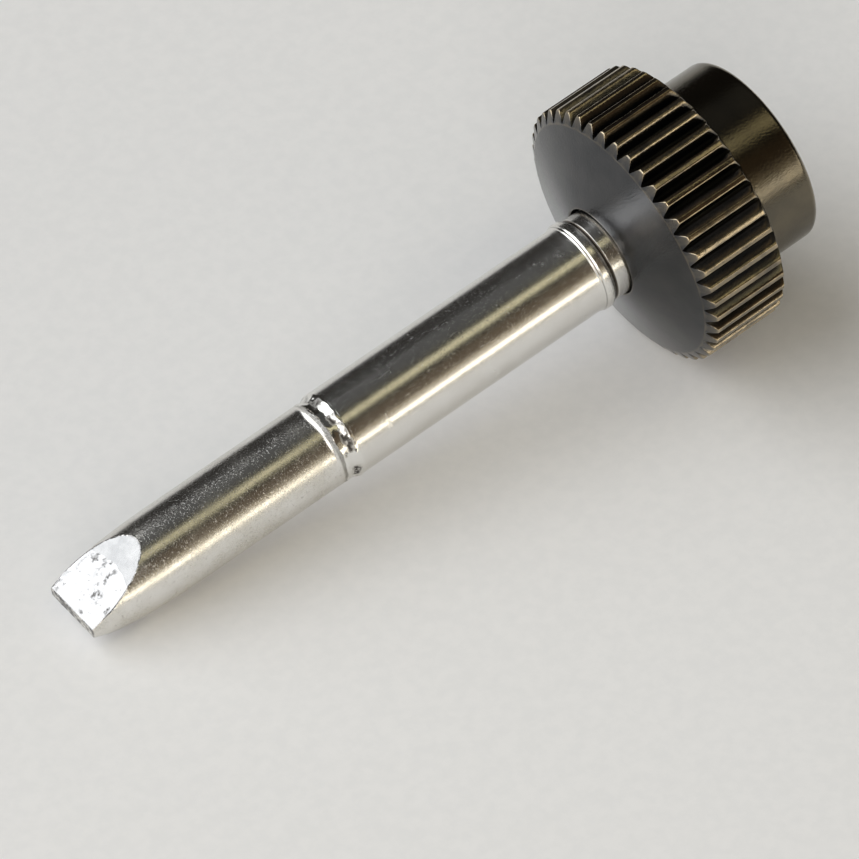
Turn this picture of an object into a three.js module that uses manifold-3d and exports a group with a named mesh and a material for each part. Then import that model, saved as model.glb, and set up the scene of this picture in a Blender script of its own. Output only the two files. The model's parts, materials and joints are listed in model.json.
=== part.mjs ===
// Screw-on soldering tip: a plated copper chisel brazed into a hollow steel sleeve,
// with a captive knurled nut that screws the whole tip onto its handle.
// The tool lies on a table, resting on the nut's rim and on the back of the lower chisel face.
// Lengths are millimetres. A "station" is a distance along the tool axis from the working end.
import * as THREE from 'three';
import { mergeVertices } from 'three/addons/utils/BufferGeometryUtils.js';
import Module from 'manifold-3d';

const wasm = await Module();
wasm.setup();

// ---- driving dimensions -------------------------------------------------------------------

const FIT_GAP = 0.02; // between pieces that are brazed, plated or pressed together

const TIP = {
  endRadius: 2.5, // half the width of the chisel's edge
  bodyRadius: 3.25,
  shoulderLength: 9.0, // where the rounded nose reaches the full body
  noseSteps: 12,
  nosePower: 2.2,
  endHalfThickness: 0.45,
  facetLength: 6.1,
  rearStation: 22.2,
  rearChamfer: 0.25,
};

const CLADDING_THICKNESS = 0.3;

const CORE = {
  shankRadius: 3.17,
  shankStation: 23.35,
  rearStation: 31.0,
  pocketRadius: 2.1,
  pocketStation: 12.0,
  pocketConeLength: 1.2,
};

const SOLDER = {
  thickness: 0.07,
  frontStation: 0.12,
  rearStation: 4.0,
  sideMargin: 0.1,
  arcRadius: 7.5,
  steps: 12,
};

// The braze fills the step from the tip to the sleeve: [fraction of its width, depth under the sleeve].
const BRAZE = {
  frontStation: 22.22,
  rearStation: 23.28,
  profile: [[0.25, 0.4], [0.6, 0.32], [0.85, 0.08], [1, 0.04]],
};

const SLEEVE = {
  frontStation: 23.3,
  rearStation: 55.4,
  radius: 3.45,
  wall: 0.25,
  neckRadius: 3.42,
  frontEdge: 0.06,
};

const BEAD = { station: 45.92, halfWidth: 0.57, radius: 3.64, points: 9, blend: 0.1 };

const COLLAR = { frontStation: 53.8, radius: 5.3, edge: 0.2 };

const NUT = {
  holeRadius: 3.55,
  holeStation: 47.75, // the front face is a shallow cone that stands proud at the hole
  holeEdge: 0.12,
  faceRadius: 9.75,
  faceStation: 49.5,
  crestRadius: 10.65,
  chamferLength: 0.5,
  discRearStation: 56.65,
  hubRadius: 7.45,
  hubRearStation: 62.1,
  hubRounding: 0.55,
  hubRoundingSteps: 4,
  shoulderStation: 50.95, // seat of the thrust washer
  lift: 0.09, // the sleeve lies on the bottom of the nut's hole
};

const KNURL = { teeth: 45, landWidth: 0.42, rootRadius: 9.8, rootWidth: 0.08 };

const THREAD = {
  minorRadius: 5.7,
  majorRadius: 6.3,
  pitch: 1.0,
  firstStation: 56.4,
  crestWidth: 0.14,
  overlap: 0.3, // depth of the cutter inside the minor diameter
  stepsPerTurn: 30,
  mouthChamfer: 0.7,
};

const WASHER = { holeRadius: 3.62, radius: 5.5, thickness: 0.5, gap: 0.03 };

const ROUND_STEPS = 48;
const CUT = 1; // how far a cutting body reaches past the faces it opens
const BLOCK = 40; // larger than any piece
const NUT_STEPS = 2 * KNURL.teeth;

const chamferStation = NUT.faceStation + NUT.chamferLength;
const threadMouthStation = NUT.hubRearStation - THREAD.mouthChamfer;

// ---- materials ----------------------------------------------------------------------------

function metal(name, color, roughness) {
  return new THREE.MeshStandardMaterial({ name, color, roughness, metalness: 1.0, flatShading: true });
}

const platedIron = metal('plated_iron', 0x8f8d86, 0.32);
const copper = metal('copper', 0xb66a43, 0.35);
const solder = metal('solder', 0xe4e6e8, 0.25);
const brazeAlloy = metal('braze_alloy', 0xb9b5aa, 0.3);
const brightSteel = metal('bright_steel', 0xa5a29a, 0.22);
const blackMetal = metal('black_metal', 0x26241f, 0.45);
const zincSteel = metal('zinc_steel', 0x9b9ea2, 0.35);

// ---- solids -------------------------------------------------------------------------------

function toSolid(geometry) {
  const bare = geometry.clone();
  bare.deleteAttribute('normal');
  bare.deleteAttribute('uv');
  const merged = mergeVertices(bare, 1e-4);
  const index = merged.index.array;
  const triangles = [];
  for (let i = 0; i < index.length; i += 3) {
    const [a, b, c] = [index[i], index[i + 1], index[i + 2]];
    if (a !== b && b !== c && c !== a) {
      triangles.push(a, b, c);
    }
  }
  const vertProperties = new Float32Array(merged.attributes.position.array);
  return new wasm.Manifold(new wasm.Mesh({ numProp: 3, vertProperties, triVerts: new Uint32Array(triangles) }));
}

function toGeometry(solid) {
  const mesh = solid.getMesh();
  const geometry = new THREE.BufferGeometry();
  geometry.setAttribute('position', new THREE.BufferAttribute(new Float32Array(mesh.vertProperties), 3));
  geometry.setIndex(new THREE.BufferAttribute(new Uint32Array(mesh.triVerts), 1));
  geometry.computeVertexNormals();
  return geometry;
}

// A solid of revolution about the tool axis (X), from a list of [station, radius] points that
// runs from front to rear along the outside. It closes along the axis or along its own bore.
function turned(profile, steps = ROUND_STEPS) {
  const points = profile.map(([station, radius]) => new THREE.Vector2(radius, station));
  const onAxis = profile[0][1] === 0 && profile.at(-1)[1] === 0;
  if (!onAxis) {
    points.push(points[0].clone());
  }
  const geometry = new THREE.LatheGeometry(points, steps);
  geometry.rotateZ(-Math.PI / 2);
  return toSolid(geometry);
}

// A block whose lower face passes through [station, height] and rises to the rear by slope.
function blockAbove(station, height, slope) {
  const geometry = new THREE.BoxGeometry(BLOCK, BLOCK, BLOCK);
  geometry.translate(0, 0, BLOCK / 2);
  geometry.rotateY(-Math.atan(slope));
  geometry.translate(station, 0, height);
  return toSolid(geometry);
}

function mirrored(solid) {
  return solid.rotate([180, 0, 0]);
}

function mesh(name, solid, material) {
  const piece = new THREE.Mesh(toGeometry(solid), material);
  piece.name = name;
  return piece;
}

// ---- chisel -------------------------------------------------------------------------------

function noseRadius(station) {
  const left = Math.max(0, 1 - station / TIP.shoulderLength);
  return TIP.bodyRadius - (TIP.bodyRadius - TIP.endRadius) * left ** TIP.nosePower;
}

const facetSlope = (noseRadius(TIP.facetLength) - TIP.endHalfThickness) / TIP.facetLength;
const facetStretch = Math.hypot(1, facetSlope); // height taken by a unit of depth under a facet

// The chisel's outside, moved inwards by inset and starting that far behind the working end.
function chisel(inset, rearPoints) {
  const nose = [];
  for (let i = 0; i <= TIP.noseSteps; i += 1) {
    const station = inset + (TIP.shoulderLength - inset) * (i / TIP.noseSteps);
    nose.push([station, noseRadius(station) - inset]);
  }
  const round = turned([[inset, 0], ...nose, ...rearPoints]);
  const facet = blockAbove(0, TIP.endHalfThickness - inset * facetStretch, facetSlope);
  return round.subtract(facet).subtract(mirrored(facet));
}

function ironCladding() {
  const outside = chisel(0, [
    [TIP.rearStation - TIP.rearChamfer, TIP.bodyRadius],
    [TIP.rearStation, TIP.bodyRadius - TIP.rearChamfer],
    [TIP.rearStation, 0],
  ]);
  const bore = TIP.bodyRadius - CLADDING_THICKNESS;
  const cavity = chisel(CLADDING_THICKNESS, [[TIP.rearStation + CUT, bore], [TIP.rearStation + CUT, 0]]);
  return outside.subtract(cavity);
}

function copperCore() {
  const inset = CLADDING_THICKNESS + FIT_GAP;
  const body = chisel(inset, [
    [CORE.shankStation, TIP.bodyRadius - inset],
    [CORE.shankStation, CORE.shankRadius],
    [CORE.rearStation, CORE.shankRadius],
    [CORE.rearStation, 0],
  ]);
  const pocket = turned([
    [CORE.pocketStation, 0],
    [CORE.pocketStation + CORE.pocketConeLength, CORE.pocketRadius],
    [CORE.rearStation + CUT, CORE.pocketRadius],
    [CORE.rearStation + CUT, 0],
  ]);
  return body.subtract(pocket);
}

// A film of solder on the front of the upper chisel face, with a rounded rear boundary.
function solderCoat() {
  const low = TIP.endHalfThickness + FIT_GAP * facetStretch;
  const high = low + SOLDER.thickness * facetStretch;
  const film = blockAbove(0, low, facetSlope).subtract(blockAbove(0, high, facetSlope));
  const outline = [];
  for (let i = 0; i <= SOLDER.steps; i += 1) {
    const station = SOLDER.frontStation + (SOLDER.rearStation - SOLDER.frontStation) * (i / SOLDER.steps);
    outline.push([station, noseRadius(station) - SOLDER.sideMargin]);
  }
  const round = turned([[SOLDER.frontStation, 0], ...outline, [SOLDER.rearStation, 0]]);
  const arc = new THREE.CylinderGeometry(SOLDER.arcRadius, SOLDER.arcRadius, BLOCK, ROUND_STEPS);
  arc.rotateX(Math.PI / 2);
  arc.translate(SOLDER.rearStation - SOLDER.arcRadius, 0, 0);
  return film.intersect(round).intersect(toSolid(arc));
}

function brazeRing() {
  const inner = TIP.bodyRadius - CLADDING_THICKNESS;
  const width = BRAZE.rearStation - BRAZE.frontStation;
  const outside = BRAZE.profile.map(([fraction, depth]) => [
    BRAZE.frontStation + fraction * width,
    SLEEVE.radius - depth,
  ]);
  return turned([
    [BRAZE.frontStation, TIP.bodyRadius - TIP.rearChamfer - FIT_GAP],
    ...outside,
    [BRAZE.rearStation, inner],
    [BRAZE.frontStation, inner],
  ]);
}

// ---- sleeve -------------------------------------------------------------------------------

// Radius added by the rolled bead at a fraction from -1 to 1 of its half width.
function beadRise(fraction) {
  return (BEAD.radius - SLEEVE.radius) * 0.5 * (1 + Math.cos(Math.PI * fraction));
}

function beadPoints(baseRadius) {
  const points = [];
  for (let i = 0; i < BEAD.points; i += 1) {
    const fraction = -1 + (2 * i) / (BEAD.points - 1);
    points.push([BEAD.station + fraction * BEAD.halfWidth, baseRadius + beadRise(fraction)]);
  }
  return points;
}

function sleeve() {
  const outside = beadPoints(SLEEVE.radius);
  const neckStart = BEAD.station + BEAD.halfWidth + BEAD.blend;
  const bore = SLEEVE.radius - SLEEVE.wall;
  const neckBore = SLEEVE.neckRadius - SLEEVE.wall;
  return turned([
    [SLEEVE.frontStation, SLEEVE.radius - SLEEVE.frontEdge],
    [SLEEVE.frontStation + SLEEVE.frontEdge, SLEEVE.radius],
    ...outside,
    [neckStart, SLEEVE.neckRadius],
    [SLEEVE.rearStation, SLEEVE.neckRadius],
    [SLEEVE.rearStation, neckBore],
    [neckStart, neckBore],
    ...beadPoints(bore).reverse(),
    [SLEEVE.frontStation, bore],
  ]);
}

function retainingCollar() {
  const bore = SLEEVE.neckRadius + FIT_GAP;
  return turned([
    [COLLAR.frontStation, COLLAR.radius - COLLAR.edge],
    [COLLAR.frontStation + COLLAR.edge, COLLAR.radius],
    [SLEEVE.rearStation - COLLAR.edge, COLLAR.radius],
    [SLEEVE.rearStation, COLLAR.radius - COLLAR.edge],
    [SLEEVE.rearStation, bore],
    [COLLAR.frontStation, bore],
  ]);
}

// ---- nut ----------------------------------------------------------------------------------

// Toothed disc outline: flat lands joined by V grooves, with a groove at the bottom.
function knurlOutline() {
  const pitch = (2 * Math.PI) / KNURL.teeth;
  const landAngle = KNURL.landWidth / NUT.crestRadius;
  const rootAngle = KNURL.rootWidth / KNURL.rootRadius;
  const points = [];
  for (let tooth = 0; tooth < KNURL.teeth; tooth += 1) {
    const middle = (tooth + 0.5) * pitch - Math.PI / 2;
    const corners = [
      [middle - pitch / 2 + rootAngle / 2, KNURL.rootRadius],
      [middle - landAngle / 2, NUT.crestRadius],
      [middle + landAngle / 2, NUT.crestRadius],
      [middle + pitch / 2 - rootAngle / 2, KNURL.rootRadius],
    ];
    for (const [angle, radius] of corners) {
      points.push(new THREE.Vector2(radius * Math.cos(angle), radius * Math.sin(angle)));
    }
  }
  return new THREE.Shape(points);
}

function knurledPrism() {
  const depth = NUT.discRearStation - NUT.holeStation + CUT;
  const geometry = new THREE.ExtrudeGeometry(knurlOutline(), { depth, bevelEnabled: false });
  geometry.rotateZ(Math.PI / 2);
  geometry.rotateY(Math.PI / 2);
  geometry.translate(NUT.holeStation - CUT / 2, 0, 0);
  return toSolid(geometry);
}

function nutDisc() {
  const clearRadius = NUT.crestRadius + 0.05; // just outside the knurl, which trims it
  return turned([
    [NUT.holeStation, 0],
    [NUT.holeStation, NUT.holeRadius + NUT.holeEdge],
    [NUT.faceStation, NUT.faceRadius],
    [chamferStation, clearRadius],
    [NUT.discRearStation - NUT.chamferLength, clearRadius],
    [NUT.discRearStation, NUT.faceRadius],
    [NUT.discRearStation, 0],
  ], NUT_STEPS);
}

function nutHub() {
  const corner = [];
  for (let i = 0; i <= NUT.hubRoundingSteps; i += 1) {
    const angle = (Math.PI / 2) * (i / NUT.hubRoundingSteps);
    const station = NUT.hubRearStation - NUT.hubRounding * (1 - Math.sin(angle));
    corner.push([station, NUT.hubRadius - NUT.hubRounding * (1 - Math.cos(angle))]);
  }
  const start = NUT.discRearStation - CUT;
  return turned([[start, 0], [start, NUT.hubRadius], ...corner, [NUT.hubRearStation, 0]], NUT_STEPS);
}

// Everything that is bored out of the nut: the neck's hole, the washer's seat and the socket.
function nutBore() {
  const front = NUT.holeStation - CUT;
  const rear = NUT.hubRearStation + CUT;
  return turned([
    [front, 0],
    [front, NUT.holeRadius + NUT.holeEdge + CUT],
    [NUT.holeStation + NUT.holeEdge, NUT.holeRadius],
    [NUT.shoulderStation, NUT.holeRadius],
    [NUT.shoulderStation, THREAD.minorRadius],
    [threadMouthStation, THREAD.minorRadius],
    [rear, THREAD.minorRadius + THREAD.mouthChamfer + CUT],
    [rear, 0],
  ], NUT_STEPS);
}

// The helical groove of the nut's thread, as one swept body of triangular section.
function threadCutter() {
  const turns = (NUT.hubRearStation + THREAD.pitch - THREAD.firstStation) / THREAD.pitch;
  const steps = Math.ceil(turns * THREAD.stepsPerTurn);
  const half = (THREAD.pitch - THREAD.crestWidth) / 2;
  const flankSlope = (THREAD.majorRadius - THREAD.minorRadius) / half;
  const innerRadius = THREAD.minorRadius - THREAD.overlap;
  const innerHalf = (THREAD.majorRadius - innerRadius) / flankSlope;
  const section = [[-innerHalf, innerRadius], [0, THREAD.majorRadius], [innerHalf, innerRadius]];
  const positions = [];
  for (let i = 0; i <= steps; i += 1) {
    const angle = (2 * Math.PI * i) / THREAD.stepsPerTurn;
    const station = THREAD.firstStation + (THREAD.pitch * i) / THREAD.stepsPerTurn;
    for (const [along, radius] of section) {
      positions.push(station + along, radius * Math.cos(angle), radius * Math.sin(angle));
    }
  }
  const index = [0, 1, 2];
  for (let i = 0; i < steps; i += 1) {
    for (let side = 0; side < 3; side += 1) {
      const a = 3 * i + side;
      const b = 3 * i + ((side + 1) % 3);
      index.push(a, a + 3, b, b, a + 3, b + 3);
    }
  }
  index.push(3 * steps, 3 * steps + 2, 3 * steps + 1);
  const geometry = new THREE.BufferGeometry();
  geometry.setAttribute('position', new THREE.Float32BufferAttribute(positions, 3));
  geometry.setIndex(index);
  return toSolid(geometry);
}

function knurledNut() {
  const disc = nutDisc().intersect(knurledPrism());
  return disc.add(nutHub()).subtract(nutBore()).subtract(threadCutter());
}

function thrustWasher() {
  const front = NUT.shoulderStation + WASHER.gap;
  const rear = front + WASHER.thickness;
  return turned([[front, WASHER.radius], [rear, WASHER.radius], [rear, WASHER.holeRadius], [front, WASHER.holeRadius]]);
}

// ---- assembly -----------------------------------------------------------------------------

const tipSide = new THREE.Group();
tipSide.add(
  mesh('iron_cladding', ironCladding(), platedIron),
  mesh('copper_core', copperCore(), copper),
  mesh('solder_coat_top', solderCoat(), solder),
  mesh('solder_coat_bottom', mirrored(solderCoat()), solder),
  mesh('braze_ring', brazeRing(), brazeAlloy),
  mesh('sleeve', sleeve(), brightSteel),
  mesh('retaining_collar', retainingCollar(), zincSteel),
);

const nutSide = new THREE.Group();
nutSide.position.z = NUT.lift;
nutSide.add(
  mesh('thrust_washer', thrustWasher(), zincSteel),
  mesh('knurled_nut', knurledNut(), blackMetal),
);

const tool = new THREE.Group();
tool.add(tipSide, nutSide);

// The tool leans back on the nut's rim and on the rear corner of the lower chisel face.
const rimDrop = NUT.crestRadius - NUT.lift - noseRadius(TIP.facetLength);
tool.rotation.y = -Math.atan(rimDrop / (chamferStation - TIP.facetLength));

// The origin is on the table, under the middle of the tool's box.
tool.updateMatrixWorld(true);
const box = new THREE.Box3().setFromObject(tool, true);
tool.position.x -= (box.min.x + box.max.x) / 2;
tool.position.y -= (box.min.y + box.max.y) / 2;
tool.position.z -= box.min.z;

const solderingTip = new THREE.Group();
solderingTip.add(tool);

export default solderingTip;
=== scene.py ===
import json
import math

import bmesh
import bpy
from mathutils import Matrix, Vector, noise


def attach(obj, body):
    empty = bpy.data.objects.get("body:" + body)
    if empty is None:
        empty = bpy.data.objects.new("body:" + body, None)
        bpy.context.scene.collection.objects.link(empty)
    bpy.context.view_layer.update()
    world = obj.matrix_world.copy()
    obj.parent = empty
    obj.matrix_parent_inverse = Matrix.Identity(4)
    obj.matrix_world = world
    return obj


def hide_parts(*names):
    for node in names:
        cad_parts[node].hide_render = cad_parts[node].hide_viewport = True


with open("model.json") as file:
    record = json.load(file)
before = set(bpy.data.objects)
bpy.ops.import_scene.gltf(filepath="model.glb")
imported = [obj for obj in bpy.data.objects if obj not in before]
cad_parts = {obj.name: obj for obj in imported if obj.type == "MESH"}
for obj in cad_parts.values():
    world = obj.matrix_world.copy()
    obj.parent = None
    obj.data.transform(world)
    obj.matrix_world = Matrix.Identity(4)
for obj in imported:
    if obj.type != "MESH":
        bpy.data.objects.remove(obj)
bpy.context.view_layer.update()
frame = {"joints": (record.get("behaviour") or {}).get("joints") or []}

# ---- frame of the tool ---------------------------------------------------------------------
# Pieces are drawn in millimetres as (station, side, height): station runs along the tool's
# axis from the working end, and height is square to it. place() brings them to the row frame.

MM = 0.001
SPIN_STATION = 53.0  # where nut_spin's position lies along the axis
NUT_LIFT = 0.09  # the nut rests this far above the tip's axis

spin = next(j for j in frame["joints"] if j["name"] == "nut_spin")
AXIS = Vector(spin["axis"]).normalized()
SIDE = Vector((0.0, 1.0, 0.0))
UP = AXIS.cross(SIDE).normalized()
nut_origin = Vector(spin["pos_m"]) - AXIS * SPIN_STATION * MM
tip_origin = nut_origin - UP * NUT_LIFT * MM


def place(origin):
    basis = Matrix((AXIS * MM, SIDE * MM, UP * MM)).transposed().to_4x4()
    return Matrix.Translation(origin) @ basis


TIP_FRAME = place(tip_origin)
NUT_FRAME = place(nut_origin)

# ---- dimensions, as in the CAD ------------------------------------------------------------

BODY_RADIUS = 3.25
END_RADIUS = 2.5
SHOULDER = 9.0
NOSE_POWER = 2.2
END_HALF = 0.45
FACET_LENGTH = 6.1
TIP_REAR = 22.2
CLADDING = 0.3
CORE_INSET = 0.32
CORE_SHOULDER = 23.35
CORE_REAR = 31.0
SHANK_RADIUS = 3.17
POCKET_RADIUS = 2.1
POCKET_FRONT = 13.2
POCKET_TIP = 12.0

SOLDER_START = 0.10
SOLDER_END = 4.0

SLEEVE_FRONT = 23.3
SLEEVE_REAR = 55.4
SLEEVE_RADIUS = 3.45
NECK_RADIUS = 3.42
WALL = 0.25
BEAD_STATION = 45.92
BEAD_HALF = 0.57
BEAD_RADIUS = 3.64
BEAD_LENGTH = 2.0 * BEAD_HALF

TEETH = 45
CREST = 10.645
RIM_RADIUS = 10.65
ROOT = 9.8
LAND = 0.42
FACE_RADIUS = 9.75
CHAMFER_SLOPE = 0.5 / (RIM_RADIUS - FACE_RADIUS)
FACE_STATION = 49.5
HOLE_STATION = 47.75
HOLE_RADIUS = 3.55
HOLE_EDGE = 0.12
DISC_REAR = 56.65
HUB_RADIUS = 7.45
HUB_REAR = 62.1
HUB_ROUND = 0.55
SHOULDER_STATION = 50.95
THREAD_MINOR = 5.7
THREAD_MAJOR = 6.3
THREAD_FIRST = 56.4
MOUTH = 0.7

COLLAR = ((53.8, 5.3), (55.4, 5.3), (55.4, 3.44), (53.8, 3.44))
COLLAR_ROUNDING = [0.2, 0.2, 0.08, 0.08]
WASHER = ((50.98, 5.5), (51.48, 5.5), (51.48, 3.62), (50.98, 3.62))
WASHER_ROUNDING = [0.1, 0.1, 0.06, 0.06]


def nose_radius(s):
    left = max(0.0, 1.0 - s / SHOULDER)
    return BODY_RADIUS - (BODY_RADIUS - END_RADIUS) * left**NOSE_POWER


FACET_SLOPE = (nose_radius(FACET_LENGTH) - END_HALF) / FACET_LENGTH


def ease(a, b, x):
    t = min(1.0, max(0.0, (x - a) / (b - a)))
    return t * t * (3.0 - 2.0 * t)


# ---- mesh making ---------------------------------------------------------------------------


def finish_piece(bm, name, matrix, body, replaced, material, crease=35.0, bevel=0.0):
    bmesh.ops.recalc_face_normals(bm, faces=bm.faces)
    mesh = bpy.data.meshes.new(name)
    bm.to_mesh(mesh)
    bm.free()
    mesh.transform(matrix)
    for polygon in mesh.polygons:
        polygon.use_smooth = True
    mesh.set_sharp_from_angle(angle=math.radians(crease))
    piece = bpy.data.objects.new(name, mesh)
    bpy.context.scene.collection.objects.link(piece)
    if bevel:
        mod = piece.modifiers.new("edges", "BEVEL")
        mod.width = bevel * MM
        mod.segments = 3
        mod.limit_method = "ANGLE"
        mod.angle_limit = math.radians(crease)
        mod.use_clamp_overlap = False
        mod.harden_normals = False
    weighted = piece.modifiers.new("normals", "WEIGHTED_NORMAL")
    weighted.keep_sharp = True
    mesh.materials.append(material)
    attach(piece, body)
    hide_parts(*replaced)
    return piece


def skin(bm, rings, close=False, wear_and_shade=None, tone=None):
    """Quads between rings of equal length; a ring of one point is a pole."""
    layer = bm.verts.layers.float.get("wear_and_shade") or bm.verts.layers.float.new("wear_and_shade")
    shade = bm.verts.layers.float.get("tone") or bm.verts.layers.float.new("tone")
    made = []
    for i, ring in enumerate(rings):
        row = []
        for j, p in enumerate(ring):
            v = bm.verts.new(p)
            v[layer] = wear_and_shade[i][j] if wear_and_shade else 0.0
            v[shade] = tone[i] if tone else 0.0
            row.append(v)
        made.append(row)
    pairs = list(zip(made, made[1:]))
    if close:
        pairs.append((made[-1], made[0]))
    for a, b in pairs:
        n = max(len(a), len(b))
        for j in range(n):
            k = (j + 1) % n
            if len(a) == 1:
                bm.faces.new((a[0], b[j], b[k]))
            elif len(b) == 1:
                bm.faces.new((a[j], b[0], a[k]))
            else:
                bm.faces.new((a[j], b[j], b[k], a[k]))
    return made


def circle(s, r, n):
    """A ring about the axis, its first point at the bottom; a radius of 0 is a pole."""
    if r <= 0.0:
        return [Vector((s, 0.0, 0.0))]
    out = []
    for j in range(n):
        t = 2.0 * math.pi * j / n - math.pi / 2.0
        out.append(Vector((s, r * math.cos(t), r * math.sin(t))))
    return out


def rounded(points, radius, steps=4, closed=True):
    """The profile with its corners replaced by arcs; radius is one number or one per corner."""
    n = len(points)
    out = []
    for i in range(n):
        p = Vector(points[i])
        r = radius[i] if isinstance(radius, (list, tuple)) else radius
        if r <= 0.0 or (not closed and i in (0, n - 1)):
            out.append(tuple(p))
            continue
        a = Vector(points[i - 1]) - p
        b = Vector(points[(i + 1) % n]) - p
        cut = min(r, a.length * 0.45, b.length * 0.45)
        a, b = p + a.normalized() * cut, p + b.normalized() * cut
        for k in range(steps + 1):
            t = k / steps
            q = a * (1 - t) ** 2 + p * 2 * t * (1 - t) + b * t**2
            out.append(tuple(q))
    return out


def split(points, longest, closed=False):
    """The profile with long spans cut into equal shorter ones."""
    out = []
    n = len(points)
    for i in range(n if closed else n - 1):
        a, b = Vector(points[i]), Vector(points[(i + 1) % n])
        parts = max(1, math.ceil((b - a).length / longest))
        out.extend(tuple(a.lerp(b, k / parts)) for k in range(parts))
    if not closed:
        out.append(tuple(points[-1]))
    return out


# ---- materials -----------------------------------------------------------------------------


# sockets of a Mix node set to colour
COLOUR_A, COLOUR_B, COLOUR_RESULT = 6, 7, 2


class Nodes:
    """A small helper that adds nodes to one material."""

    def __init__(self, name):
        self.material = bpy.data.materials.new(name)
        self.material.use_nodes = True
        self.tree = self.material.node_tree
        self.shader = self.tree.nodes["Principled BSDF"]
        coords = self.add("ShaderNodeTexCoord")
        turn = self.add("ShaderNodeMapping")
        turn.inputs["Rotation"].default_value = (0.0, math.asin(AXIS.z), 0.0)
        self.link(coords.outputs["Object"], turn.inputs["Vector"])
        self.axial = turn.outputs["Vector"]  # X runs along the tool

    def add(self, kind, **values):
        node = self.tree.nodes.new(kind)
        for key, value in values.items():
            setattr(node, key, value)
        return node

    def link(self, a, b):
        self.tree.links.new(a, b)

    def stretch(self, x, y, z):
        node = self.add("ShaderNodeMapping")
        node.inputs["Scale"].default_value = (x, y, z)
        self.link(self.axial, node.inputs["Vector"])
        return node.outputs["Vector"]

    def noise(self, vector, scale, detail=3.0, roughness=0.55, distortion=0.0):
        node = self.add("ShaderNodeTexNoise")
        node.inputs["Scale"].default_value = scale
        node.inputs["Detail"].default_value = detail
        node.inputs["Roughness"].default_value = roughness
        node.inputs["Distortion"].default_value = distortion
        self.link(vector, node.inputs["Vector"])
        return node.outputs["Fac"]

    def span(self, value, low, high, to_low=0.0, to_high=1.0):
        node = self.add("ShaderNodeMapRange", interpolation_type="SMOOTHSTEP")
        limits = {"From Min": low, "From Max": high, "To Min": to_low, "To Max": to_high}
        for key, number in limits.items():
            node.inputs[key].default_value = number
        self.link(value, node.inputs["Value"])
        return node.outputs["Result"]

    def math(self, kind, a, b):
        node = self.add("ShaderNodeMath", operation=kind)
        for i, value in enumerate((a, b)):
            if isinstance(value, (int, float)):
                node.inputs[i].default_value = value
            else:
                self.link(value, node.inputs[i])
        return node.outputs["Value"]

    def mix(self, factor, a, b):
        node = self.add("ShaderNodeMix", data_type="RGBA")
        self.link(factor, node.inputs["Factor"])
        for key, value in ((COLOUR_A, a), (COLOUR_B, b)):
            if isinstance(value, tuple):
                node.inputs[key].default_value = (*value, 1.0)
            else:
                self.link(value, node.inputs[key])
        return node.outputs[COLOUR_RESULT]

    def attribute(self, name):
        return self.add("ShaderNodeAttribute", attribute_name=name).outputs["Fac"]

    def bump(self, layers):
        """Bumps on top of each other, from (height, millimetres) pairs."""
        before = None
        for height, depth in layers:
            node = self.add("ShaderNodeBump")
            node.inputs["Strength"].default_value = 1.0
            node.inputs["Distance"].default_value = depth * MM
            self.link(height, node.inputs["Height"])
            if before is not None:
                self.link(before, node.inputs["Normal"])
            before = node.outputs["Normal"]
        self.link(before, self.shader.inputs["Normal"])

    def set(self, key, value):
        if isinstance(value, (int, float)):
            self.shader.inputs[key].default_value = value
        else:
            self.link(value, self.shader.inputs[key])


def tip_plating():
    """Bright but grainy plating with fine turning flecks; its worn end is darker in blotches."""
    n = Nodes("tip_plating")
    grain = n.noise(n.axial, 9000.0, 4.0, 0.7)
    flecks = n.noise(n.stretch(1.0, 0.28, 0.28), 16000.0, 3.0, 0.7)
    cloud = n.noise(n.axial, 420.0, 4.0, 0.6)
    dirt_and_shade = n.span(n.noise(n.axial, 5200.0, 5.0, 0.7), 0.56, 0.74)
    clean = n.mix(n.span(cloud, 0.35, 0.7), (0.80, 0.785, 0.755), (0.70, 0.68, 0.635))
    patches = n.span(n.noise(n.axial, 1700.0, 4.0, 0.65), 0.42, 0.58)
    blotch = n.math("MULTIPLY", n.attribute("wear_and_shade"), patches)
    clean = n.mix(blotch, clean, (0.16, 0.155, 0.15))
    n.set("Base Color", n.mix(n.math("MULTIPLY", dirt_and_shade, 0.65), clean, (0.13, 0.115, 0.10)))
    both = n.math("ADD", n.math("MULTIPLY", grain, 0.5), n.math("MULTIPLY", cloud, 0.5))
    n.set("Roughness", n.span(both, 0.3, 0.72, 0.18, 0.32))
    n.set("Metallic", 1.0)
    specks = n.span(n.noise(n.stretch(1.0, 0.45, 0.45), 11000.0, 2.0, 0.6), 0.56, 0.76)
    n.bump([(grain, 0.0048), (flecks, 0.005), (specks, 0.006)])
    return n.material


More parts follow.
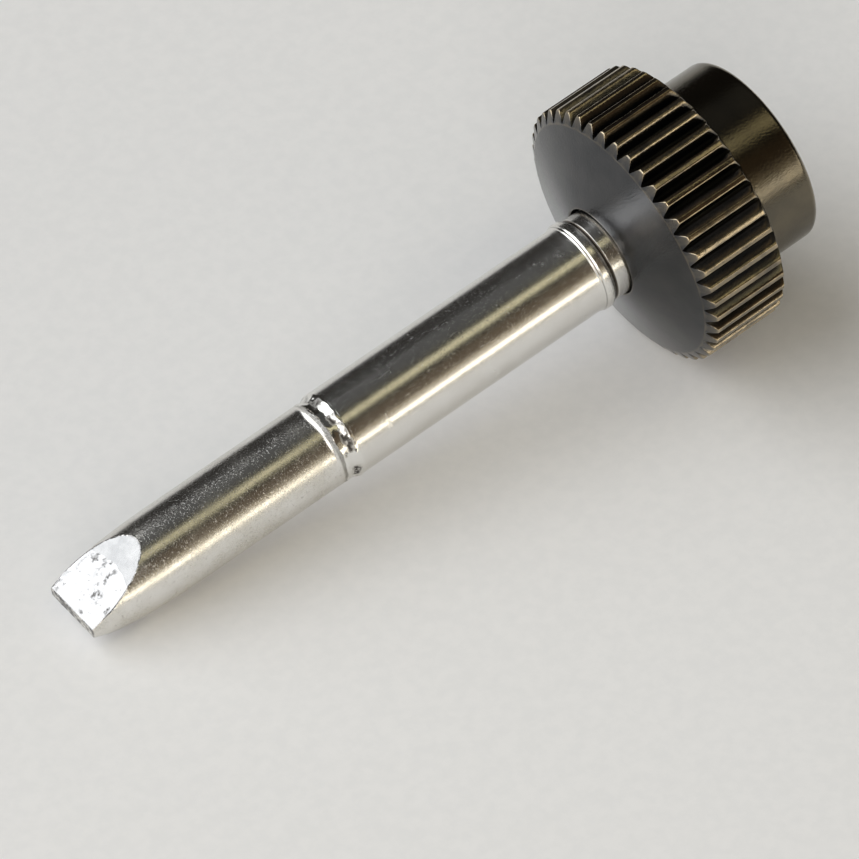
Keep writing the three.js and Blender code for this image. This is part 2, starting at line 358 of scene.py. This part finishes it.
def sleeve_plating():
    """Bright plated tube: fine drawn texture, small scratches and pale scuffs; painted shade
    darkens it behind the bead and between the bead's front steps.
    """
    n = Nodes("sleeve_plating")
    fine = n.noise(n.stretch(1.0, 0.6, 0.6), 11000.0, 3.0, 0.6)
    cloud = n.noise(n.axial, 300.0, 4.0, 0.6)
    scuff = n.span(n.noise(n.stretch(1.0, 0.7, 0.7), 700.0, 5.0, 0.72), 0.62, 0.74)
    scratch = n.span(n.noise(n.stretch(0.10, 1.0, 1.0), 3600.0, 2.0, 0.5, 0.4), 0.70, 0.78)
    marks = n.math("MAXIMUM", scuff, n.math("MULTIPLY", scratch, 0.6))
    base = n.mix(n.span(cloud, 0.3, 0.7), (0.82, 0.81, 0.785), (0.76, 0.745, 0.715))
    clean = n.mix(marks, base, (0.90, 0.89, 0.87))
    # painted shade: the per-vertex mark set in build_sleeve darkens the valley behind the bead
    # and the groove between its front steps
    n.set("Base Color", n.mix(n.attribute("wear_and_shade"), clean, (0.085, 0.07, 0.055)))
    rough = n.math("ADD", n.span(fine, 0.3, 0.7, 0.17, 0.27), n.math("MULTIPLY", marks, 0.22))
    n.set("Roughness", rough)
    n.set("Metallic", 1.0)
    specks = n.span(n.noise(n.axial, 13000.0, 2.0, 0.6), 0.60, 0.78)
    n.bump([(fine, 0.0036), (cloud, 0.006), (specks, 0.0055)])
    return n.material


def nut_black():
    """Bead-blasted black, bronze where tone is 1, rubbed bare on its edges."""
    n = Nodes("nut_black")
    blast = n.noise(n.axial, 7500.0, 3.0, 0.65)
    cloud = n.noise(n.axial, 260.0, 4.0, 0.6)
    worn = n.attribute("wear_and_shade")
    uneven = n.span(n.noise(n.axial, 800.0, 4.0, 0.6), 0.25, 0.60, 0.25, 1.0)
    rubbed = n.math("MULTIPLY", worn, uneven)
    plain = n.mix(n.span(cloud, 0.3, 0.7), (0.064, 0.066, 0.070), (0.088, 0.088, 0.090))
    bronze = n.mix(n.span(cloud, 0.3, 0.7), (0.125, 0.112, 0.088), (0.170, 0.148, 0.108))
    dark = n.mix(n.attribute("tone"), plain, bronze)
    n.set("Base Color", n.mix(rubbed, dark, (0.46, 0.38, 0.26)))
    n.set("Roughness", n.span(blast, 0.3, 0.7, 0.10, 0.18))
    n.set("Metallic", 1.0)
    n.bump([(blast, 0.013), (n.noise(n.axial, 5200.0, 2.0, 0.5), 0.010)])
    return n.material


def facet_smooth():
    """The flat faces: smooth, greyer, lightly hazed plating."""
    n = Nodes("facet_smooth")
    haze = n.noise(n.axial, 800.0, 4.0, 0.6)
    fine = n.noise(n.stretch(0.3, 1.0, 1.0), 9000.0, 3.0, 0.6)
    n.set("Base Color", n.mix(n.span(haze, 0.3, 0.7), (0.30, 0.302, 0.305), (0.37, 0.37, 0.37)))
    n.set("Roughness", n.span(fine, 0.3, 0.7, 0.22, 0.34))
    n.set("Metallic", 1.0)
    n.bump([(fine, 0.002), (haze, 0.008)])
    return n.material


def solder_bright():
    """Wet solder: almost white, with dark pits and smears of flux."""
    n = Nodes("solder_bright")
    soft = n.noise(n.axial, 900.0, 3.0, 0.5)
    fine = n.noise(n.axial, 6500.0, 3.0, 0.6)
    cluster = n.span(n.noise(n.axial, 480.0, 2.0, 0.5), 0.46, 0.60)
    holes = n.span(n.noise(n.axial, 1700.0, 4.0, 0.70), 0.47, 0.68)
    pits = n.math("MULTIPLY", cluster, holes)
    smear = n.span(n.noise(n.axial, 520.0, 3.0, 0.5), 0.58, 0.78)
    white = n.mix(n.math("MULTIPLY", smear, 0.6), (0.50, 0.50, 0.505), (0.25, 0.248, 0.245))
    n.set("Base Color", n.mix(pits, white, (0.10, 0.096, 0.092)))
    rough = n.math("ADD", n.span(fine, 0.3, 0.7, 0.24, 0.38), n.math("MULTIPLY", pits, 0.25))
    n.set("Roughness", rough)
    n.set("Metallic", 0.9)
    n.bump([(soft, 0.03), (fine, 0.003), (n.math("SUBTRACT", 1.0, pits), 0.012)])
    return n.material


def braze_metal():
    """Ragged braze: bright flow with black flux left in the hollows."""
    n = Nodes("braze_metal")
    flow = n.noise(n.axial, 1400.0, 4.0, 0.6)
    flux = n.span(n.noise(n.axial, 1900.0, 4.0, 0.65), 0.34, 0.52)
    black = n.math("MULTIPLY", flux, n.attribute("wear_and_shade"))
    n.set("Base Color", n.mix(black, (0.82, 0.81, 0.78), (0.035, 0.03, 0.026)))
    n.set("Roughness", n.math("ADD", 0.16, n.math("MULTIPLY", black, 0.4)))
    n.set("Metallic", n.math("SUBTRACT", 1.0, n.math("MULTIPLY", black, 0.8)))
    n.bump([(flow, 0.02)])
    return n.material


def turned_metal(name, light, shade, low, high):
    """Machined metal with fine rings round the axis and faint stains."""
    n = Nodes(name)
    rings = n.noise(n.stretch(1.0, 0.03, 0.03), 14000.0, 3.0, 0.6)
    stain = n.noise(n.axial, 600.0, 4.0, 0.6)
    n.set("Base Color", n.mix(n.span(stain, 0.35, 0.7), light, shade))
    n.set("Roughness", n.span(rings, 0.3, 0.7, low, high))
    n.set("Metallic", 1.0)
    n.bump([(rings, 0.006)])
    return n.material


TIP_PLATING = tip_plating()
SLEEVE_PLATING = sleeve_plating()
NUT_BLACK = nut_black()
FACET = facet_smooth()
SOLDER = solder_bright()
BRAZE = braze_metal()
COPPER = turned_metal("turned_copper", (0.72, 0.40, 0.25), (0.42, 0.22, 0.15), 0.28, 0.5)
STEEL = turned_metal("turned_steel", (0.60, 0.61, 0.62), (0.42, 0.42, 0.42), 0.25, 0.42)

# ---- tip -----------------------------------------------------------------------------------


def cut_flats(bm, inset):
    """Cuts the two flat faces, this far inside the outer ones; returns the closing faces."""
    height = END_HALF - inset * math.hypot(1.0, FACET_SLOPE)
    flats = []
    for sign in (1.0, -1.0):
        cut = bmesh.ops.bisect_plane(
            bm,
            geom=list(bm.verts) + list(bm.edges) + list(bm.faces),
            dist=1e-5,
            plane_co=(0.0, 0.0, sign * height),
            plane_no=Vector((-FACET_SLOPE, 0.0, sign)).normalized(),
            clear_outer=True,
        )["geom_cut"]
        loop = [e for e in cut if isinstance(e, bmesh.types.BMEdge)]
        flats += bmesh.ops.edgeloop_fill(bm, edges=loop)["faces"]
    return flats


def chisel_shell(bm, inset, rear):
    """The rounded nose with its two flat faces, open at the rear; its end face is worn."""
    segments, steps = 192, 40
    profile = [(inset, 0.0), (inset, 0.6 * END_RADIUS)]
    for s in (inset, inset + 0.1):
        profile.append((s, nose_radius(s) - inset))
    for i in range(1, steps + 1):
        s = inset + (SHOULDER - inset) * i / steps
        profile.append((s, nose_radius(s) - inset))
    profile += split([(SHOULDER, BODY_RADIUS - inset)] + rear, 0.8)[1:]
    worn = []
    for s, r in profile:
        count = segments if r > 0.0 else 1
        worn.append([1.0 - ease(inset + 0.01, inset + 0.12, s)] * count)
    skin(bm, [circle(s, r, segments) for s, r in profile], wear_and_shade=worn)
    for face in cut_flats(bm, inset):
        face.material_index = 1


def build_cladding():
    """The plated skin: an outer and an inner shell, joined at the rear."""
    corner = [
        (SHOULDER + 0.1, BODY_RADIUS),
        (TIP_REAR, BODY_RADIUS),
        (TIP_REAR, BODY_RADIUS - 0.25),
    ]
    outer = bmesh.new()
    chisel_shell(outer, 0.0, rounded(corner, 0.22, 5, closed=False))
    mesh = bpy.data.meshes.new("part")
    inner = bmesh.new()
    chisel_shell(inner, CLADDING, [(TIP_REAR, BODY_RADIUS - CLADDING)])
    inner.to_mesh(mesh)
    outer.from_mesh(mesh)
    inner.free()
    bpy.data.meshes.remove(mesh)
    rims = [e for e in outer.edges if e.is_boundary]
    bmesh.ops.bridge_loops(outer, edges=rims)
    bmesh.ops.dissolve_degenerate(outer, dist=0.015, edges=outer.edges)
    piece = finish_piece(
        outer, "tip_cladding_plated", TIP_FRAME, "tip_assembly", ["iron_cladding"],
        TIP_PLATING, crease=14.0, bevel=0.07)
    piece.data.materials.append(FACET)


def build_core():
    """The copper inside the skin, with its shank and the blind pocket for the heater."""
    bm = bmesh.new()
    profile = [(CORE_INSET, 0.0)]
    steps = 30
    for i in range(steps + 1):
        s = CORE_INSET + (SHOULDER - CORE_INSET) * i / steps
        profile.append((s, nose_radius(s) - CORE_INSET))
    corners = [
        (SHOULDER + 0.2, BODY_RADIUS - CORE_INSET),
        (CORE_SHOULDER, BODY_RADIUS - CORE_INSET),
        (CORE_SHOULDER, SHANK_RADIUS),
        (CORE_REAR, SHANK_RADIUS),
        (CORE_REAR, POCKET_RADIUS),
        (POCKET_FRONT, POCKET_RADIUS),
        (POCKET_TIP, 0.0),
    ]
    rear = rounded(corners, [0, 0.1, 0.15, 0.3, 0.2, 0.3, 0], 4, closed=False)
    profile += split(rear, 1.0)
    skin(bm, [circle(s, r, 96) for s, r in profile])
    cut_flats(bm, CORE_INSET)
    finish_piece(
        bm, "tip_core_copper", TIP_FRAME, "tip_assembly", ["copper_core"], COPPER)


def solder_point(u, v, seed):
    """The film's point at u along and v across: on the flat face, and how thick it is there."""
    ragged = 0.12 * noise.noise(Vector((v * 3.0, seed, 0.0)))
    ragged += 0.02 * noise.noise(Vector((v * 17.0, seed, 3.0)))
    end = SOLDER_END - 0.42 * v * v + ragged
    length = end - SOLDER_START
    s = SOLDER_START + length * u
    half = nose_radius(s)
    h = END_HALF + FACET_SLOPE * s
    width = math.sqrt(max(0.01, half * half - h * h)) - 0.06
    width *= 1.0 + 0.012 * noise.noise(Vector((s * 5.0, seed + math.copysign(2.0, v), 1.0)))
    y = v * width
    rim = min(u * length, (1.0 - u) * length, (1.0 - abs(v)) * width)
    swell = 0.045 + 0.016 * noise.noise(Vector((s * 1.3, y * 1.3, seed)))
    swell += 0.008 * noise.noise(Vector((s * 5.0, y * 5.0, seed)))
    pit = ease(0.30, 0.55, noise.noise(Vector((s * 4.2, y * 4.2, seed + 7.0))))
    depth = 0.010 + ease(0.0, 0.45, rim) * max(0.016, swell - 0.030 * pit)
    return Vector((s, y, h)), depth


def build_solder(sign, name, node, seed):
    """A film that swells in the middle, thins at a ragged edge and has small pits."""
    bm = bmesh.new()
    across, along = 96, 84
    normal = Vector((-FACET_SLOPE, 0.0, 1.0)).normalized()
    points = [
        [solder_point(i / along, 2.0 * j / across - 1.0, seed) for j in range(across + 1)]
        for i in range(along + 1)
    ]
    top = [[bm.verts.new(base + normal * depth) for base, depth in row] for row in points]
    under = [[bm.verts.new(base + normal * 0.004) for base, _ in row] for row in points]
    for i in range(along):
        for j in range(across):
            bm.faces.new((top[i][j], top[i + 1][j], top[i + 1][j + 1], top[i][j + 1]))
            bm.faces.new((under[i][j], under[i][j + 1], under[i + 1][j + 1], under[i + 1][j]))
    edge = [(0, j) for j in range(across + 1)]
    edge += [(i, across) for i in range(1, along + 1)]
    edge += [(along, j) for j in range(across - 1, -1, -1)]
    edge += [(i, 0) for i in range(along - 1, 0, -1)]
    for (i, j), (k, m) in zip(edge, edge[1:] + edge[:1]):
        bm.faces.new((top[i][j], top[k][m], under[k][m], under[i][j]))
    if sign < 0:
        mirror = Matrix.Scale(-1.0, 4, (0.0, 0.0, 1.0))
        bmesh.ops.transform(bm, matrix=mirror, verts=bm.verts)
    finish_piece(bm, name, TIP_FRAME, "tip_assembly", [node], SOLDER, crease=60.0)


def build_braze():
    """A ragged fillet from the tip's rear edge up and over the sleeve's front edge."""
    bm = bmesh.new()
    n = 240
    outside = [
        (21.98, 3.225), (22.06, 3.252), (22.16, 3.268), (22.30, 3.262), (22.44, 3.235),
        (22.58, 3.215), (22.72, 3.225), (22.84, 3.265), (22.95, 3.32), (23.05, 3.375),
        (23.14, 3.42), (23.22, 3.45), (23.30, 3.468), (23.38, 3.468), (23.45, 3.455),
        (23.52, 3.435),
    ]
    inside = [(23.28, 3.18), (23.28, 2.97), (22.6, 2.95), (22.22, 2.97), (21.99, 3.0)]
    most = 3.485
    last = len(outside) - 1
    rings, wear_and_shade = [], []
    for k, (s, r) in enumerate(outside):
        ring, dark = [], []
        for j in range(n):
            t = 2.0 * math.pi * j / n - math.pi / 2.0
            c, d = math.cos(t), math.sin(t)
            lump = noise.noise(Vector((c * 2.6, d * 2.6, s * 1.4)))
            fine = noise.noise(Vector((c * 8.0, d * 8.0, s * 3.5 + 5.0)))
            front = 0.20 * noise.noise(Vector((c * 3.6, d * 3.6, 11.0))) * (1.0 - k / last)
            rear = 0.22 * (noise.noise(Vector((c * 4.6, d * 4.6, 23.0))) - 0.25) * k / last
            swell = ease(0.0, 3.0, min(k, last - k))
            radius = min(most, r + swell * (0.055 * lump + 0.03 * fine))
            ring.append(Vector((s + front + rear, radius * c, radius * d)))
            gap = ease(22.50, 22.75, s + 0.25 * fine)
            gap *= 1.0 - ease(23.05, 23.3, s + 0.2 * lump)
            patch = noise.noise(Vector((c * 2.2 + 3.0, d * 2.2, 31.0))) + 0.4 * fine
            patch = ease(-0.10, 0.22, patch)
            dark.append(gap * patch)
        rings.append(ring)
        wear_and_shade.append(dark)
    for s, r in inside:
        rings.append(circle(s, r, n))
        wear_and_shade.append([0.0] * n)
    skin(bm, rings, close=True, wear_and_shade=wear_and_shade)
    finish_piece(
        bm, "braze_joint", TIP_FRAME, "tip_assembly", ["braze_ring"],
        BRAZE, crease=60.0)


# ---- sleeve, collar and washer --------------------------------------------------------------


def bead_rise(s):
    """Rolled bead: two fine steep steps in front, a crowned top and a steep rear flank."""
    x = s - (BEAD_STATION - BEAD_HALF)
    if x <= 0.0 or x >= BEAD_LENGTH:
        return 0.0
    front = 0.42 * ease(0.0, 0.13, x) + 0.46 * ease(0.17, 0.36, x)
    crown = 0.12 * math.sin(math.pi * min(1.0, max(0.0, (x - 0.28) / 0.7)))
    return (BEAD_RADIUS - SLEEVE_RADIUS) * (front + crown) * (1.0 - ease(0.84, 1.12, x))


def build_sleeve():
    """The tube: its rounded front edge, the bead with painted shade behind it and between its
    front steps, the neck and the bore.
    """
    bead_front, bead_rear = BEAD_STATION - BEAD_HALF, BEAD_STATION + BEAD_HALF
    outside = [
        (SLEEVE_FRONT, SLEEVE_RADIUS - 0.10),
        (SLEEVE_FRONT + 0.02, SLEEVE_RADIUS - 0.045),
        (SLEEVE_FRONT + 0.07, SLEEVE_RADIUS - 0.012),
        (SLEEVE_FRONT + 0.14, SLEEVE_RADIUS),
    ]
    outside += split([(SLEEVE_FRONT + 0.2, SLEEVE_RADIUS), (bead_front, SLEEVE_RADIUS)], 0.8)
    steps = 60
    for i in range(1, steps + 1):
        s = bead_front + (bead_rear - bead_front) * i / steps
        base = SLEEVE_RADIUS + (NECK_RADIUS - SLEEVE_RADIUS) * ease(0.0, 1.0, i / steps)
        outside.append((s, base + bead_rise(s)))
    valley, depth, steps = 0.22, 0.09, 10
    for k in range(1, steps + 1):
        x = valley * k / steps
        dip = depth * math.sin(math.pi * x / valley) ** 2
        outside.append((bead_rear + x, NECK_RADIUS - dip))
    neck = [(bead_rear + 0.3, NECK_RADIUS), (SLEEVE_REAR - 0.16, NECK_RADIUS)]
    outside += split(neck, 0.8)
    outside += [
        (SLEEVE_REAR - 0.09, NECK_RADIUS - 0.006),
        (SLEEVE_REAR - 0.03, NECK_RADIUS - 0.03),
        (SLEEVE_REAR, NECK_RADIUS - 0.08),
    ]
    rear_bore = NECK_RADIUS - WALL
    front_bore = SLEEVE_RADIUS - WALL
    inside = [(SLEEVE_REAR, rear_bore + 0.06), (SLEEVE_REAR - 0.06, rear_bore)]
    inside += split([(SLEEVE_REAR - 0.2, rear_bore), (bead_rear, rear_bore)], 1.5)[:-1]
    steps = 20
    for i in range(steps + 1):
        s = bead_rear - (bead_rear - bead_front) * i / steps
        inside.append((s, front_bore + 0.6 * bead_rise(s) - 0.03 * (1.0 - i / steps)))
    inside += split([(bead_front - 0.1, front_bore), (SLEEVE_FRONT + 0.04, front_bore)], 1.5)
    bm = bmesh.new()
    count = 192
    # painted shade: the valley just behind the bead is darkened fully, and the groove between
    # the bead's two front steps half as much
    dirt_and_shade = []
    for s, _ in outside:
        behind = ease(bead_rear - 0.12, bead_rear, s)
        behind *= 1.0 - ease(bead_rear + 0.14, bead_rear + 0.26, s)
        step = 0.5 * ease(0.10, 0.15, s - bead_front)
        step *= 1.0 - ease(0.19, 0.24, s - bead_front)
        dirt_and_shade.append(max(behind, step))
    dirt_and_shade += [0.0] * len(inside)
    rings = [circle(s, r, count) for s, r in outside + inside]
    skin(bm, rings, close=True, wear_and_shade=[[d] * count for d in dirt_and_shade])
    finish_piece(
        bm, "sleeve_tube", TIP_FRAME, "tip_assembly", ["sleeve"],
        SLEEVE_PLATING)


def build_ring(name, node, body, matrix, corners, radius):
    """A turned ring with this section, its corners rounded one by one."""
    bm = bmesh.new()
    profile = split(rounded(corners, radius, 4), 0.5, closed=True)
    skin(bm, [circle(s, r, 128) for s, r in profile], close=True)
    finish_piece(bm, name, matrix, body, [node], STEEL)


# ---- nut -----------------------------------------------------------------------------------


def knurl_samples():
    """(angle, radius, wear) round the nut: flat lands with rubbed corners, and V grooves."""
    pitch = 2.0 * math.pi / TEETH
    land = 0.5 * LAND / CREST
    foot = 0.5 * pitch - 0.04 / ROOT
    flank = CREST - ROOT
    half = [
        (0.55 * land, CREST, 0.7),
        (0.86 * land, CREST - 0.006, 0.9),
        (land, CREST - 0.035, 0.9),
    ]
    for t, worn in ((0.12, 0.7), (0.22, 0.25), (0.45, 0.05), (0.7, 0.0), (0.9, 0.0)):
        half.append((land + (foot - land) * t, CREST - flank * t, worn))
    half.append((foot, ROOT + 0.03, 0.0))
    out = []
    for tooth in range(TEETH):
        middle = (tooth + 0.5) * pitch - math.pi / 2.0
        out += [(middle - a, r, w) for a, r, w in reversed(half)]
        out.append((middle, CREST, 0.7))
        out += [(middle + a, r, w) for a, r, w in half]
        out.append((middle + 0.5 * pitch, ROOT, 0.0))
    return out


def thread_radius(s, angle):
    phase = (s - THREAD_FIRST - angle / (2.0 * math.pi)) % 1.0
    groove = max(0.0, 1.0 - abs(phase - 0.5) / 0.43)
    depth = (THREAD_MAJOR - THREAD_MINOR) * ease(0.0, 0.8, s - THREAD_FIRST)
    cone = THREAD_MINOR + (s - (HUB_REAR - MOUTH))
    return max(THREAD_MINOR + depth * groove, cone)


def build_nut():
    """The nut as one closed skin: face, knurled rim, hub, threaded mouth, shoulder and bore."""
    samples = knurl_samples()
    angles = [a for a, _, _ in samples]
    lip = HOLE_RADIUS + HOLE_EDGE
    face_slope = (FACE_STATION - HOLE_STATION) / (FACE_RADIUS - lip)
    rings, wear_and_shade = [], []

    def around(s, r, a):
        return Vector((s, r * math.cos(a), r * math.sin(a)))

    def plain(s, r, worn=0.0):
        rings.append([around(s, r, a) for a in angles])
        wear_and_shade.append([worn] * len(angles))

    def toothed(at, keep, extra):
        """A ring through the knurl; at(r) says where a point of the outline at r goes."""
        row, marks = [], []
        for a, r, w in samples:
            row.append(around(*at(r), a))
            marks.append(min(1.0, keep * w + extra * ease(ROOT + 0.2, CREST, r)))
        rings.append(row)
        wear_and_shade.append(marks)

    def chamfer(edge, t, inward):
        """A point part of the way up a chamfer that starts at this station."""
        return lambda r: (
            edge + inward * CHAMFER_SLOPE * t * (r - FACE_RADIUS),
            FACE_RADIUS + 0.015 + t * (r - FACE_RADIUS - 0.015),
        )

    def corner(edge, inward):
        return lambda r: (edge + inward * (CHAMFER_SLOPE * (r - FACE_RADIUS) + 0.02), r - 0.012)

    def side(t):
        def at(r):
            rise = CHAMFER_SLOPE * (r - FACE_RADIUS)
            front = FACE_STATION + rise + 0.07
            rear = DISC_REAR - rise - 0.07
            return front + (rear - front) * t, r
        return at

    # hole's edge and front face
    for s, r, w in (
        (47.98, 3.55, 0.0), (47.88, 3.556, 0.0), (47.81, 3.585, 0.2),
        (47.765, 3.63, 0.3), (47.752, 3.68, 0.2),
    ):
        plain(s, r, w)
    for r in (3.76, 4.2, 5.2, 6.2, 7.2, 8.2, 9.1, 9.55, 9.66):
        plain(HOLE_STATION + face_slope * (r - lip), r)
    plain(FACE_STATION - 0.008, 9.715, 0.15)
    plain(FACE_STATION + 0.012, 9.765, 0.25)

    # knurled rim between its two chamfers
    climb = ((0.2, 0.0), (0.5, 0.05), (0.82, 0.15), (0.93, 0.35))
    for t, extra in climb:
        toothed(chamfer(FACE_STATION, t, 1.0), 0.12, extra)
    toothed(corner(FACE_STATION, 1.0), 0.8, 1.0)
    for t in (0.0, 0.04, 0.14, 0.28, 0.42, 0.56, 0.7, 0.84, 0.96, 1.0):
        rubbed = 0.9 * (1.0 - ease(0.0, 0.05, min(t, 1.0 - t)))
        toothed(side(t), 1.0, rubbed)
    toothed(corner(DISC_REAR, -1.0), 0.8, 1.0)
    for t, extra in reversed(climb):
        toothed(chamfer(DISC_REAR, t, -1.0), 0.12, extra)

    # rear of the disc, and the hub
    plain(DISC_REAR - 0.012, 9.765, 0.2)
    plain(DISC_REAR, 9.70, 0.1)
    for r in (9.4, 8.6, 7.8, 7.62):
        plain(DISC_REAR, r)
    for ahead, r in ((0.02, 7.53), (0.06, 7.475), (0.13, HUB_RADIUS)):
        plain(DISC_REAR + ahead, r)
    for k in range(7):
        plain(DISC_REAR + 0.3 + (HUB_REAR - HUB_ROUND - DISC_REAR - 0.35) * k / 6, HUB_RADIUS)
    for k in range(10):
        t = 0.5 * math.pi * k / 9
        s = HUB_REAR - HUB_ROUND * (1 - math.sin(t))
        plain(s, HUB_RADIUS - HUB_ROUND * (1 - math.cos(t)), 0.35 * math.sin(2 * t) ** 2)
    for r, w in ((6.8, 0.1), (6.5, 0.1), (6.44, 0.4)):
        plain(HUB_REAR, r, w)
    plain(HUB_REAR - 0.02, 6.39, 0.5)

    # thread, from the mouth inwards
    steps = 56
    first, last = HUB_REAR - 0.06, THREAD_FIRST
    for k in range(steps + 1):
        s = first + (last - first) * k / steps
        radii = [thread_radius(s, a) for a in angles]
        rings.append([around(s, r, a) for r, a in zip(radii, angles)])
        wear_and_shade.append([0.5 * (1.0 - ease(0.0, 0.12, r - THREAD_MINOR)) for r in radii])

    # bore, inner shoulder and hole
    for s in (56.2, 55.0, 53.0, 51.3, 51.05):
        plain(s, THREAD_MINOR)
    for s, r in (
        (50.97, 5.68), (SHOULDER_STATION, 5.6), (SHOULDER_STATION, 4.6),
        (SHOULDER_STATION, 3.7), (50.93, 3.6), (50.85, 3.552),
        (50.6, HOLE_RADIUS), (49.2, HOLE_RADIUS),
    ):
        plain(s, r)
    bm = bmesh.new()
    tone = [ease(DISC_REAR - 0.3, DISC_REAR + 0.2, ring[0].x) for ring in rings]
    skin(bm, rings, close=True, wear_and_shade=wear_and_shade, tone=tone)
    finish_piece(
        bm, "nut_knurled", NUT_FRAME, "nut", ["knurled_nut"],
        NUT_BLACK, crease=50.0)


build_cladding()
build_core()
build_solder(1.0, "solder_film_upper", "solder_coat_top", 1.7)
build_solder(-1.0, "solder_film_lower", "solder_coat_bottom", 5.3)
build_braze()
build_sleeve()
build_ring(
    "collar_retaining", "retaining_collar", "tip_assembly", TIP_FRAME,
    COLLAR, COLLAR_ROUNDING)
build_ring(
    "washer_thrust", "thrust_washer", "washer", NUT_FRAME,
    WASHER, WASHER_ROUNDING)
build_nut()

# ---- studio --------------------------------------------------------------------------------


def build_floor():
    bm = bmesh.new()
    bmesh.ops.create_grid(bm, x_segments=40, y_segments=40, size=1.5)
    mesh = bpy.data.meshes.new("floor")
    bm.to_mesh(mesh)
    bm.free()
    floor = bpy.data.objects.new("floor", mesh)
    bpy.context.scene.collection.objects.link(floor)
    n = Nodes("floor_pale")
    fine = n.noise(n.axial, 900.0, 4.0, 0.6)
    n.set("Base Color", n.mix(n.span(fine, 0.3, 0.7), (0.83, 0.835, 0.84), (0.86, 0.862, 0.865)))
    n.set("Roughness", 0.85)
    n.set("Specular IOR Level", 0.2)
    mesh.materials.append(n.material)


LIT_POINT = Vector((0.0, 0.0, 0.008))


def area_light(name, toward, distance, size, radiance, colour):
    """A rectangular light seen from the object in that direction, with this radiance."""
    data = bpy.data.lights.new(name, "AREA")
    data.shape = "RECTANGLE"
    data.size, data.size_y = size
    data.color = colour
    data.energy = radiance * math.pi * size[0] * size[1]
    light = bpy.data.objects.new(name, data)
    direction = Vector(toward).normalized()
    light.location = LIT_POINT + direction * distance
    light.rotation_euler = direction.to_track_quat("Z", "Y").to_euler()
    light.visible_camera = False
    bpy.context.scene.collection.objects.link(light)
    return light


def strip_light(name, toward, size, radiance, colour):
    """The same, 0.8 m away, with its long side turned to lie along the tool."""
    light = area_light(name, toward, 0.8, size, radiance, colour)
    z = Vector(toward).normalized()
    y = z.cross(AXIS).normalized()
    x = y.cross(z)
    light.rotation_euler = Matrix((x, y, z)).transposed().to_euler()


def build_world():
    """Pale to the camera, and dark to the reflections and the light on the object."""
    world = bpy.data.worlds.new("studio")
    world.use_nodes = True
    tree = world.node_tree
    background = tree.nodes["Background"]
    path = tree.nodes.new("ShaderNodeLightPath")
    mix = tree.nodes.new("ShaderNodeMix")
    mix.data_type = "RGBA"
    tree.links.new(path.outputs["Is Camera Ray"], mix.inputs["Factor"])
    mix.inputs[COLOUR_A].default_value = (0.022, 0.020, 0.018, 1.0)
    mix.inputs[COLOUR_B].default_value = (0.72, 0.72, 0.73, 1.0)
    tree.links.new(mix.outputs[COLOUR_RESULT], background.inputs["Color"])
    background.inputs["Strength"].default_value = 1.0
    bpy.context.scene.world = world


IMAGE_PIXELS = 859.0
FOCAL_PIXELS = 7500.0
SENSOR_MM = 36.0
CAMERA_POSITION = (-0.238937, -0.274321, 0.401108)
CAMERA_LOOK = (0.44292698, 0.50675448, -0.73960502)
CAMERA_UP = (0.43131859, 0.60276291, 0.67129811)


def build_camera():
    data = bpy.data.cameras.new("camera")
    data.sensor_width = SENSOR_MM
    data.lens = FOCAL_PIXELS / IMAGE_PIXELS * SENSOR_MM
    data.clip_start = 0.01
    data.clip_end = 20.0
    camera = bpy.data.objects.new("camera", data)
    look = Vector(CAMERA_LOOK).normalized()
    up = Vector(CAMERA_UP).normalized()
    turn = Matrix((look.cross(up), up, -look)).transposed().to_4x4()
    camera.matrix_world = Matrix.Translation(Vector(CAMERA_POSITION)) @ turn
    bpy.context.scene.collection.objects.link(camera)
    bpy.context.scene.camera = camera


build_floor()
build_world()
area_light("key", (-0.70, 0.42, 0.58), 1.25, (1.7, 1.5), 2.7, (0.97, 0.985, 1.0))
area_light("fill", (-0.62, -0.60, 0.50), 1.2, (0.9, 0.8), 2.6, (1.0, 0.95, 0.88))
strip_light("overhead_strip", (0.16, -0.27, 0.95), (1.0, 0.19), 0.72, (1.0, 0.92, 0.60))
strip_light("overhead_dim", (0.16, 0.32, 0.93), (1.0, 0.50), 0.045, (0.95, 1.0, 1.0))
strip_light("front_card_low", (0.25, -0.95, 0.17), (1.1, 0.15), 2.6, (1.0, 0.92, 0.76))
strip_light("front_card_high", (0.25, -0.87, 0.40), (1.1, 0.14), 0.42, (1.0, 0.84, 0.58))
strip_light("front_brown", (0.22, -0.70, 0.66), (1.1, 0.30), 0.07, (1.0, 0.66, 0.34))
build_camera()
bpy.context.scene.view_settings.view_transform = "Standard"
